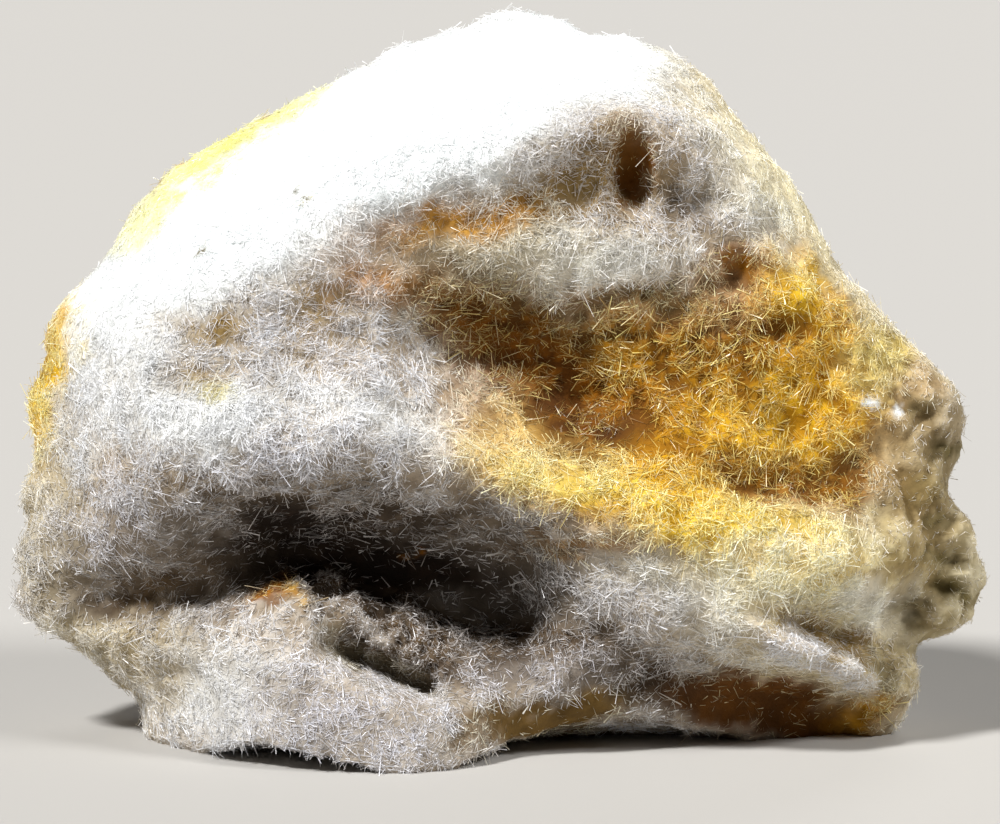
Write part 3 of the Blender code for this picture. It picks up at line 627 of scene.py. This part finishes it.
@dataclass
class Felt:
    """How the felt lies over the crust: its growth, its tufts, its colours and its painted light.

    Places wander and fray before a patch is looked up, so no patch has an even edge. Between the tufts the
    ground and its needles are painted darker, as painted shade, and the needles are fewer.
    """

    wander: Drift = Drift(3.2, 2, 3.7)
    wander_mm: float = 0.85
    fray: Drift = Drift(0.8, 3, 11.3)
    fray_mm: float = 0.5
    front_from_mm: float = -3.0
    front_to_mm: float = 0.6
    tufts: Drift = Drift(1.15, 3, 5.1)
    wisps: Drift = Drift(0.42, 2, 9.4)
    wisp_share: float = 0.45
    tuft_gain: float = 2.4
    full_tuft_mm: float = 0.13
    back_share: float = 0.35
    # Painted shade between the tufts: where it starts, how dark the ground gets, and how much the needles
    # take.
    gap_from: float = 0.5
    gap_share: float = 0.85
    gap_needle_share: float = 0.5
    crowding: float = 1.1
    least_crowded: float = 0.15
    most_crowded: float = 2.2
    mottle: Drift = Drift(2.4, 4, 7.9)
    mottle_share: float = 0.14
    true_places: np.ndarray = field(init=False)
    places: np.ndarray = field(init=False)
    front: np.ndarray = field(init=False)
    tuft: np.ndarray = field(init=False)
    growth: np.ndarray = field(init=False)

    def lay_out(self, points: np.ndarray) -> None:
        """Find the places, the growth and the tufts at each vertex, before the relief is raised.

        Args:
            points: the vertices in metres, one a row.
        """
        points_mm = points / MM
        seen = VIEW.seen(points)
        wander = self.wander.at(points_mm) * self.wander_mm
        fray = self.fray.at(points_mm) * self.fray_mm
        self.true_places = seen[:, :2]
        self.places = seen[:, :2] + (wander + fray)[:, :2]
        self.front = smooth_step((seen[:, 2] - self.front_from_mm) / (self.front_to_mm - self.front_from_mm))
        tuft = self.tufts.at(points_mm)[:, 0]
        wisp = self.wisps.at(points_mm)[:, 0]
        self.tuft = np.clip((tuft + self.wisp_share * wisp) * self.tuft_gain, -1.0, 1.0)
        values = np.tile(FIELD_GROWTH.values(), (len(points), 1))
        for growth in FRONT_GROWTH.values():
            values = mix(values, growth.values(), growth.patch.cover(self.places))
        self.growth = mix(np.tile(BACK_GROWTH.values(), (len(points), 1)), values, self.front)

    def relief_mm(self) -> tuple[np.ndarray, np.ndarray]:
        """Work out the relief.

        Returns:
            For each vertex the height of its tuft, and how far it is pressed in from the front.
        """
        _, _, _, _, tuft_mm, _ = self.growth.T
        pressed = np.zeros(len(self.front))
        for group in FRONT_DENTS.values():
            for dent in group:
                pressed += dent.depth_mm * dent.patch.cover(self.true_places)
        return tuft_mm * self.tuft, pressed * self.front

    def stain(self, stains: dict[str, list[TintPatch]]) -> list[np.ndarray]:
        """Lay the tinted patches one over another, over white felt: the felt's own colours, painted shade
        and painted highlights.

        Args:
            stains: the groups of tinted patches, own colours and painted light alike, in order.

        Returns:
            The three shades of the felt, linear, one a row.
        """
        shades = [np.tile(linear(shade)[:3], (len(self.places), 1)) for shade in Tint.WHITE.value]
        for group in stains.values():
            for stain in group:
                share = stain.patch.cover(self.places) * stain.strength
                for number, shade in enumerate(stain.tint.value):
                    shades[number] = mix(shades[number], np.array(linear(shade)[:3]), share)
        return shades

    def finish(self, mesh: bpy.types.Mesh) -> Surface:
        """Work out the colours and the needles at each vertex.

        Args:
            mesh: the crust's mesh, with its relief.

        Returns:
            The values, one a row.
        """
        points = vertex_values(mesh, "co")
        density, length_mm, width_mm, tilt_deg, tuft_mm, dullness = self.growth.T
        deep, ground, needle = (
            mix(behind, ahead, self.front)
            for behind, ahead in zip(self.stain(BACK_STAINS), self.stain(FRONT_STAINS_AND_PAINTED_LIGHT))
        )
        unevenness = self.back_share + (1.0 - self.back_share) * self.front
        unevenness *= np.clip(tuft_mm / self.full_tuft_mm, 0.0, 1.0)
        # Painted shade: the ground and its needles get darker in the low places between the tufts.
        painted_gap_shade = smooth_step(self.gap_from - self.tuft) * self.gap_share * unevenness
        mottle = 1.0 + self.mottle_share * self.mottle.at(points / MM)[:, :1]
        crowd = np.clip(1.0 + self.crowding * self.tuft * unevenness, self.least_crowded, self.most_crowded)
        needle = mix(needle, ground, self.gap_needle_share * painted_gap_shade) * mottle
        ground = mix(ground, deep, painted_gap_shade) * mottle
        normals = vertex_values(mesh, "normal")
        return Surface(
            points, normals, ground, needle, density * crowd, length_mm, width_mm, tilt_deg, dullness
        )


# Finishes.


@dataclass(frozen=True)
class CrustFinish:
    """Matted bavenite between its needles: a chalky silicate felt that grew packed, stained by iron.

    It gives the eye a dull, soft ground with no gloss, grainy up close and a little uneven in shade. The
    ends of its fibres are finer than a pixel, so the grain is drawn coarser.
    """

    name: str = "matted_bavenite_felt"
    roughness: float = 0.85
    specular: float = 0.2
    grain_mm: float = 0.16
    grain_depth_mm: float = 0.05
    grain_strength: float = 0.8
    speck_mm: float = 0.5
    speck_contrast: tuple[float, float] = (0.3, 0.7)
    speck_shades: tuple[float, float] = (0.86, 1.12)

    def build(self) -> bpy.types.Material:
        """Make the material: the colours at the vertices, painted shade and highlights among them, broken up
        by specks and a grain.

        Returns:
            The material.
        """
        material = new_material(self.name)
        tree = material.node_tree
        low, high = self.speck_contrast
        dark, light = self.speck_shades
        place = add_node(tree, "ShaderNodeTexCoord", {}, {}).outputs["Object"]
        stain = add_node(tree, "ShaderNodeAttribute", {"attribute_name": PAINT}, {})
        grain = add_node(
            tree, "ShaderNodeTexNoise",
            {"Scale": 1.0 / (self.grain_mm * MM), "Detail": 3.0, "Roughness": 0.6}, {"Vector": place},
        )
        speck = add_node(
            tree, "ShaderNodeTexNoise",
            {"Scale": 1.0 / (self.speck_mm * MM), "Detail": 4.0, "Roughness": 0.7}, {"Vector": place},
        )
        shade = add_node(
            tree, "ShaderNodeMapRange",
            {"From Min": low, "From Max": high, "To Min": dark, "To Max": light},
            {"Value": speck.outputs["Fac"]},
        )
        colour = add_node(
            tree, "ShaderNodeVectorMath", {"operation": "SCALE"},
            {"Vector": stain.outputs["Color"], "Scale": shade.outputs["Result"]},
        )
        bump = add_node(
            tree, "ShaderNodeBump",
            {"Strength": self.grain_strength, "Distance": self.grain_depth_mm * MM},
            {"Height": grain.outputs["Fac"]},
        )
        shader = add_node(
            tree, "ShaderNodeBsdfPrincipled",
            {"Roughness": self.roughness, "Specular IOR Level": self.specular, "IOR": BAVENITE_IOR},
            {"Base Color": colour.outputs["Vector"], "Normal": bump.outputs["Normal"]},
        )
        add_node(tree, "ShaderNodeOutputMaterial", {}, {"Surface": shader.outputs["BSDF"]})
        return material


@dataclass(frozen=True)
class NeedleFinish:
    """Bavenite needles: glassy to silky crystals, whose flat sides glint where they catch the light.

    Each has its own shade, and a few are painted paler as a painted glint, so the felt sparkles. They are
    drawn about 0.03 mm thick, which is coarser than the real ones, so that they show.
    """

    name: str = "bavenite_needles_silky"
    roughness: float = 0.32
    specular: float = 0.45

    def build(self) -> bpy.types.Material:
        """Make the material, with each needle's own colour.

        Returns:
            The material.
        """
        material = new_material(self.name)
        tree = material.node_tree
        stain = add_node(tree, "ShaderNodeAttribute", {"attribute_name": PAINT}, {})
        shader = add_node(
            tree, "ShaderNodeBsdfPrincipled",
            {"Roughness": self.roughness, "Specular IOR Level": self.specular, "IOR": BAVENITE_IOR},
            {"Base Color": stain.outputs["Color"]},
        )
        add_node(tree, "ShaderNodeOutputMaterial", {}, {"Surface": shader.outputs["BSDF"]})
        return material


@dataclass(frozen=True)
class FloorFinish:
    """Uncoated paper: a flat, matte tone that shows only soft shadows."""

    name: str = "matte_paper"
    colour: str = "#B8B5B0"
    roughness: float = 0.9

    def build(self) -> bpy.types.Material:
        """Make the plain material.

        Returns:
            The material.
        """
        material = new_material(self.name)
        tree = material.node_tree
        shader = add_node(
            tree, "ShaderNodeBsdfPrincipled",
            {"Base Color": linear(self.colour), "Roughness": self.roughness}, {},
        )
        add_node(tree, "ShaderNodeOutputMaterial", {}, {"Surface": shader.outputs["BSDF"]})
        return material


# Pieces.


@dataclass
class Crust:
    """The whole mass of matted bavenite, as a fine copy of the CAD solid, a little inside its surface."""

    name: str = "felted_crust"
    merge_mm: float = 0.001
    cell_mm: float = 0.24
    smooth_factor: float = 0.5
    smooth_times: int = 7
    inset_mm: float = 0.12
    lump_size_mm: float = 1.6
    lump_layers: int = 2
    lump_height_mm: float = 0.25
    lump_middle: float = 0.5
    base_mm: float = 0.12
    finish: CrustFinish = field(default_factory=CrustFinish)

    def copy_solid(self) -> bpy.types.Object:
        """Copy the CAD solid's mesh, merge its loose triangles, and give it an even, fine mesh.

        Returns:
            The copy.
        """
        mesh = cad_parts[NODE_NAME].data.copy()
        mesh.materials.clear()
        crust = bpy.data.objects.new(self.name, mesh)
        bpy.context.scene.collection.objects.link(crust)
        make_active(crust)
        bpy.ops.object.mode_set(mode="EDIT")
        bpy.ops.mesh.select_all(action="SELECT")
        bpy.ops.mesh.remove_doubles(threshold=self.merge_mm * MM)
        bpy.ops.object.mode_set(mode="OBJECT")
        apply_modifier(crust, "REMESH", {"mode": "VOXEL", "voxel_size": self.cell_mm * MM})
        return crust

    def roughen(self, crust: bpy.types.Object, felt: Felt) -> None:
        """Ease the facets, draw the skin in by the inset, raise the lumps and tufts, and press in the dents.

        Args:
            crust: the crust's object.
            felt: the felt, which is laid out here.
        """
        base = vertex_values(crust.data, "co")[:, 2] < self.base_mm * MM
        apply_modifier(crust, "SMOOTH", {"factor": self.smooth_factor, "iterations": self.smooth_times})
        clouds = bpy.data.textures.new("lumps", type="CLOUDS")
        clouds.noise_scale = self.lump_size_mm * MM
        clouds.noise_depth = self.lump_layers
        middle = self.lump_middle + self.inset_mm / self.lump_height_mm
        settings = {"texture": clouds, "strength": self.lump_height_mm * MM, "mid_level": middle}
        apply_modifier(crust, "DISPLACE", settings)
        points = vertex_values(crust.data, "co")
        felt.lay_out(points)
        raised, pressed = felt.relief_mm()
        points += vertex_values(crust.data, "normal") * (raised * MM)[:, None]
        points -= np.array(VIEW.direction()) * (pressed * MM)[:, None]
        points[:, 2] = np.where(base, 0.0, np.maximum(points[:, 2], 0.0))
        crust.data.vertices.foreach_set("co", points.ravel())
        crust.data.update()

    def dress(self, crust: bpy.types.Object, surface: Surface) -> None:
        """Write the colours to the mesh and give it its material.

        Args:
            crust: the crust's object.
            surface: the values at its vertices.
        """
        write_colours(crust.data, surface.ground)
        crust.data.materials.append(self.finish.build())
        make_active(crust)
        bpy.ops.object.shade_smooth()

    def build(self) -> tuple[bpy.types.Object, Surface]:
        """Build and dress the crust.

        Returns:
            The object, and the values at its vertices.
        """
        crust = self.copy_solid()
        felt = Felt()
        self.roughen(crust, felt)
        surface = felt.finish(crust.data)
        self.dress(crust, surface)
        return crust, surface


def write_colours(mesh: bpy.types.Mesh, colours: np.ndarray) -> None:
    """Write one colour a vertex to the attribute that the finishes read.

    Args:
        mesh: the mesh.
        colours: linear colours, one a row.
    """
    attribute = mesh.color_attributes.new(name=PAINT, type="FLOAT_COLOR", domain="POINT")
    with_alpha = np.column_stack([np.clip(colours, 0.0, 1.0), np.ones(len(colours))])
    attribute.data.foreach_set("color", with_alpha.astype(np.float32).ravel())


def unit(vectors: np.ndarray) -> np.ndarray:
    """Scale each row to a length of one."""
    return vectors / np.maximum(np.linalg.norm(vectors, axis=1, keepdims=True), TINY)


def move_bits(values: np.ndarray, apart: int, then_apart: int, bits: int) -> np.ndarray:
    """Take bits that are some way apart, and write them some other way apart."""
    return sum(((values >> (bit * apart)) & 1) << (bit * then_apart) for bit in range(bits))


@dataclass(frozen=True)
class Band:
    """A band of the front, or the back, whose needles are joined into one mesh."""

    name: str
    low_up: float = -99.0
    high_up: float = 99.0
    low_across: float = -99.0
    high_across: float = 99.0
    behind: bool = False

    def holds(self, seen: np.ndarray) -> np.ndarray:
        """Find which places are in the band.

        Args:
            seen: across, up and forward in millimetres, one place a row.

        Returns:
            True for each place in it.
        """
        is_behind = seen[:, 2] < BEHIND_MM
        in_range = (seen[:, 1] >= self.low_up) & (seen[:, 1] < self.high_up)
        in_range &= (seen[:, 0] >= self.low_across) & (seen[:, 0] < self.high_across)
        return is_behind if self.behind else in_range & ~is_behind


@dataclass
class NeedleFelt:
    """The coat of needles: a sliver modelled once, and copied all over the crust."""

    width_spread: float = 0.2
    length_spread: float = 0.42
    shortest_mm: float = 0.12
    longest_mm: float = 1.6
    sunk_mm: float = 0.05
    clearance_mm: float = 0.1
    comb: Drift = Drift(1.6, 1, 21.7)
    comb_share: float = 1.3
    least_tilt: float = 0.3
    tilt_spread: float = 0.8
    tilt_range_deg: tuple[float, float] = (2.0, 30.0)
    steep: float = 0.9
    dullest: float = 0.12
    dull_width: float = 0.75
    pale_width: float = 1.4
    # A few needles, chosen at random, are painted paler as a painted glint.
    painted_glint_share: float = 0.05
    painted_glint_white: float = 0.3
    limit: int = 49_900
    seed: int = 2041
    bands: tuple[Band, ...] = (
        Band("needles_crown", low_up=24.0),
        Band("needles_upper_face", low_up=17.0, high_up=24.0),
        Band("needles_roll_and_lip", low_up=10.0, high_up=17.0),
        Band("needles_foot", high_up=10.0, high_across=-2.0),
        Band("needles_belly", high_up=10.0, low_across=-2.0),
        Band("needles_back", behind=True),
    )
    finish: NeedleFinish = field(default_factory=NeedleFinish)
    material: bpy.types.Material = field(init=False)

    def model_sliver(self) -> tuple[np.ndarray, np.ndarray]:
        """Model one needle along Z from a cone: an edge at its foot, and one across it at its tip.

        Returns:
            Its four corners, and its four triangles.
        """
        deselect_all()
        bpy.ops.mesh.primitive_cone_add(vertices=3, radius1=0.5, radius2=0, depth=1, location=(0, 0, 0.5))
        sliver = bpy.context.object
        corners = sorted(sliver.data.vertices, key=lambda corner: (corner.co.z, corner.co.y))
        for corner, place in zip(corners, ((-0.5, 0, 0), (0.5, 0, 0), (0, 0.5, 1), (0, -0.5, 1))):
            corner.co = Vector(place) - sliver.location
        bpy.ops.object.mode_set(mode="EDIT")
        bpy.ops.mesh.select_all(action="SELECT")
        bpy.ops.mesh.normals_make_consistent(inside=False)
        bpy.ops.object.mode_set(mode="OBJECT")
        bpy.ops.object.transform_apply(location=True, rotation=False, scale=False)
        shape = vertex_values(sliver.data, "co")
        faces = np.array([list(face.vertices) for face in sliver.data.polygons])
        bpy.data.objects.remove(sliver, do_unlink=True)
        return shape, faces

    def scatter(self, crust: bpy.types.Object, surface: Surface, band: Band) -> dict[str, np.ndarray]:
        """Choose where the needles of a band stand.

        Args:
            crust: the crust's object.
            surface: the values at its vertices.
            band: the band.

        Returns:
            For each needle the values of the surface at its root, and its random numbers.
        """
        mesh = crust.data
        mesh.calc_loop_triangles()
        corners = np.empty(len(mesh.loop_triangles) * 3, dtype=np.int64)
        mesh.loop_triangles.foreach_get("vertices", corners)
        corners = corners.reshape(-1, 3)
        first, second, third = (surface.points[corners[:, at]] for at in range(3))
        middle = (first + second + third) / 3.0
        area_mm2 = np.linalg.norm(np.cross(second - first, third - first), axis=1) / 2.0 / MM**2
        wanted = area_mm2 * surface.density[corners].mean(axis=1)
        wanted *= band.holds(VIEW.seen(middle)) & (middle[:, 2] > self.clearance_mm * MM)
        count = min(int(wanted.sum()), self.limit)
        log.info("%s: %.0f needles wanted on %.0f mm2", band.name, wanted.sum(), area_mm2[wanted > 0].sum())
        rng = np.random.default_rng(self.seed + self.bands.index(band))
        chosen = np.searchsorted(np.cumsum(wanted), rng.random(count) * wanted.sum())
        chosen = np.minimum(chosen, len(corners) - 1)
        weights = rng.dirichlet((1.0, 1.0, 1.0), count)
        at = corners[chosen]

        def between(values: np.ndarray) -> np.ndarray:
            """Mix the values at the corners of each chosen triangle."""
            shares = weights if values.ndim == 1 else weights[:, :, None]
            return (values[at] * shares).sum(axis=1)

        spots = {name: between(values) for name, values in vars(surface).items()}
        spots["normals"] = unit(spots["normals"])
        spots["chance"] = rng.random((count, 4))
        spots["pale"] = rng.random(count) ** spots["dullness"]
        spots["bell"] = rng.standard_normal((count, 3))
        return spots

    def place(self, spots: dict[str, np.ndarray], shape: np.ndarray) -> np.ndarray:
        """Stand a copy of the sliver on each spot.

        Args:
            spots: the spots, from scatter.
            shape: the sliver's corners.

        Returns:
            The corners of all the needles, in metres, by needle and corner.
        """
        chance, bell, normal = spots["chance"], spots["bell"], spots["normals"]
        apart = np.where(np.abs(normal[:, 2:]) < self.steep, [[0, 0, 1]], [[1, 0, 0]])
        aside = unit(np.cross(normal, apart))
        beside = np.cross(normal, aside)
        turn = chance[:, 0] * 2.0 * math.pi
        lying = aside * np.cos(turn)[:, None] + beside * np.sin(turn)[:, None]
        lying += self.comb_share * self.comb.at(spots["points"] / MM)
        lying = unit(lying - normal * (lying * normal).sum(axis=1, keepdims=True))
        tilt_deg = spots["tilt_deg"] * (self.least_tilt + self.tilt_spread * np.abs(bell[:, 0]))
        tilt = np.radians(np.clip(tilt_deg, *self.tilt_range_deg))
        along = lying * np.cos(tilt)[:, None] + normal * np.sin(tilt)[:, None]
        length = spots["length_mm"] * np.exp(self.length_spread * bell[:, 1])
        length = np.clip(length, self.shortest_mm, self.longest_mm) * MM
        width = spots["width_mm"] * np.exp(self.width_spread * bell[:, 2]) * MM
        width *= self.dull_width + (self.pale_width - self.dull_width) * spots["pale"]
        roll = chance[:, 1] * 2.0 * math.pi
        side = unit(np.cross(along, normal))
        other = np.cross(along, side)
        across = side * np.cos(roll)[:, None] + other * np.sin(roll)[:, None]
        through = np.cross(along, across)
        root = spots["points"] - normal * (self.sunk_mm * MM * chance[:, 2:3])
        corners = [
            root + along * (length * z)[:, None] + (across * x + through * y) * width[:, None]
            for x, y, z in shape
        ]
        placed = np.stack(corners, axis=1)
        placed[:, :, 2] = np.maximum(placed[:, :, 2], 0.0)
        return placed

    def tint(self, spots: dict[str, np.ndarray]) -> np.ndarray:
        """Give each needle its own shade: most of them near the ground's, and a few painted paler as a
        painted glint.

        Args:
            spots: the spots, from scatter.

        Returns:
            One linear colour a needle.
        """
        share = self.dullest + (1.0 - self.dullest) * spots["pale"]
        colours = mix(spots["ground"], spots["needle"], share)
        # Painted glint: these needles are painted paler, whatever light falls on them.
        painted_glints = spots["chance"][:, 3] < self.painted_glint_share
        painted_glint_colours = spots["needle"] + (1.0 - spots["needle"]) * self.painted_glint_white
        return np.where(painted_glints[:, None], painted_glint_colours, colours)

    def bake_cells(self, roots: np.ndarray) -> np.ndarray:
        """Give each needle a cell of the texture, near the cells of its neighbours.

        Args:
            roots: where the needles stand, one a row, in metres.

        Returns:
            The lower left corner of each needle's cell, in 0 to 1.
        """
        low, high = roots.min(axis=0), roots.max(axis=0)
        steps = np.floor((roots - low) / (high - low + TINY) * (2**CURVE_BITS - 1)).astype(np.int64)
        code = sum(move_bits(steps[:, axis], 1, 3, CURVE_BITS) << axis for axis in range(3))
        rank = np.empty(len(roots), dtype=np.int64)
        rank[np.argsort(code, kind="stable")] = np.arange(len(roots))
        column, row = (move_bits(rank >> axis, 2, 1, BAKE_BITS) for axis in range(2))
        return np.column_stack([column, row]) / BAKE_CELLS

    def join(
        self, band: Band, placed: np.ndarray, faces: np.ndarray, colours: np.ndarray
    ) -> bpy.types.Object:
        """Join the needles of a band into one mesh, with their colours and their texture cells.

        Args:
            band: the band.
            placed: the corners by needle.
            faces: the sliver's triangles.
            colours: one linear colour a needle.

        Returns:
            The object.
        """
        count, corners = placed.shape[:2]
        triangles = (faces + (np.arange(count) * corners)[:, None, None]).reshape(-1, 3)
        mesh = bpy.data.meshes.new(band.name)
        mesh.from_pydata(placed.reshape(-1, 3), [], triangles.tolist())
        write_colours(mesh, np.repeat(colours, corners, axis=0))
        cells = self.bake_cells(placed[:, 0])
        near, far = CELL_MARGIN, 1.0 - CELL_MARGIN
        ring = np.array([(near, near), (far, near), (far, far), (near, far)]) / BAKE_CELLS
        centre = np.array([0.5, 0.5]) / BAKE_CELLS
        wedges = np.array([(start, end, centre) for start, end in zip(ring, np.roll(ring, -1, axis=0))])
        layout = (cells[:, None, None] + wedges).reshape(-1, 2)
        uv = mesh.uv_layers.new(name="OFBake")
        uv.data.foreach_set("uv", layout.astype(np.float32).ravel())
        mesh.materials.append(self.material)
        coat = bpy.data.objects.new(band.name, mesh)
        bpy.context.scene.collection.objects.link(coat)
        return coat

    def build(self, crust: bpy.types.Object, surface: Surface) -> list[bpy.types.Object]:
        """Build the coat, band by band.

        Args:
            crust: the crust's object.
            surface: the values at its vertices.

        Returns:
            The objects.
        """
        shape, faces = self.model_sliver()
        self.material = self.finish.build()
        coats = []
        for band in self.bands:
            spots = self.scatter(crust, surface, band)
            coats.append(self.join(band, self.place(spots, shape), faces, self.tint(spots)))
        return coats


@dataclass(frozen=True)
class Softbox:
    """A far, soft light: its place in metres, its strength, and how wide it looks."""

    name: str
    place: tuple[float, float, float]
    strength: float
    width_deg: float


@dataclass
class Studio:
    """Floor, lights and camera."""

    floor_m: float = 12.0
    lens_mm: float = 180.0
    sensor_mm: float = 36.0
    nearest_m: float = 0.01
    world_colour: str = "#DAD9D8"
    world_strength: float = 0.05
    lights: tuple[Softbox, ...] = (
        Softbox("key", (-0.14, -0.12, 0.25), 4.1, 9.0),
        Softbox("side", (0.2, -0.1, 0.21), 1.8, 16.0),
        Softbox("back", (0.1, 0.25, 0.16), 0.6, 20.0),
    )
    floor_finish: FloorFinish = field(default_factory=FloorFinish)

    def lay_floor(self) -> None:
        """Lay a large plain floor."""
        deselect_all()
        bpy.ops.mesh.primitive_plane_add(size=self.floor_m, location=(0, 0, 0))
        floor = bpy.context.object
        floor.name = "floor"
        floor.data.materials.append(self.floor_finish.build())

    def hang_lights(self) -> None:
        """Hang the key light high on the left, a fill on the right, and a weak light behind."""
        for softbox in self.lights:
            light = bpy.data.lights.new(softbox.name, "SUN")
            light.energy = softbox.strength
            light.angle = math.radians(softbox.width_deg)
            lamp = bpy.data.objects.new(softbox.name, light)
            lamp.location = softbox.place
            way = Vector(softbox.place) - VIEW.centre()
            lamp.rotation_euler = way.to_track_quat("Z", "Y").to_euler()
            bpy.context.scene.collection.objects.link(lamp)

    def set_camera(self) -> None:
        """Set the camera where the photograph was taken from, with its framing."""
        data = bpy.data.cameras.new("camera")
        data.lens = self.lens_mm
        data.sensor_width = self.sensor_mm
        data.clip_start = self.nearest_m
        camera = bpy.data.objects.new("camera", data)
        bpy.context.scene.collection.objects.link(camera)
        camera.location = VIEW.centre() + VIEW.direction() * VIEW.distance_mm * MM
        camera.rotation_euler = (-VIEW.direction()).to_track_quat("-Z", "Y").to_euler()
        bpy.context.scene.camera = camera

    def set_world(self) -> None:
        """Give the room a plain pale tone."""
        world = bpy.data.worlds.new("room")
        world.use_nodes = True
        background = world.node_tree.nodes["Background"]
        background.inputs["Color"].default_value = linear(self.world_colour)
        background.inputs["Strength"].default_value = self.world_strength
        bpy.context.scene.world = world
        bpy.context.scene.view_settings.view_transform = "Standard"

    def build(self) -> None:
        """Set up the whole studio."""
        self.lay_floor()
        self.hang_lights()
        self.set_camera()
        self.set_world()


def report(piece: bpy.types.Object) -> None:
    """Ride a piece on the body, and log it.

    Args:
        piece: the finished piece.
    """
    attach(piece, BODY_NAME)
    log.info("%s: %d faces", piece.name, len(piece.data.polygons))


def main() -> None:
    """Build the crust, its needles and the studio, in this order."""
    logging.basicConfig(level=logging.INFO, format="%(name)s %(message)s")
    deselect_all()
    noise.seed_set(DRIFT_SEED)
    crust, surface = Crust().build()
    report(crust)
    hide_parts(NODE_NAME)
    for coat in NeedleFelt().build(crust, surface):
        report(coat)
    Studio().build()
    deselect_all()


if __name__ == "__main__":
    main()
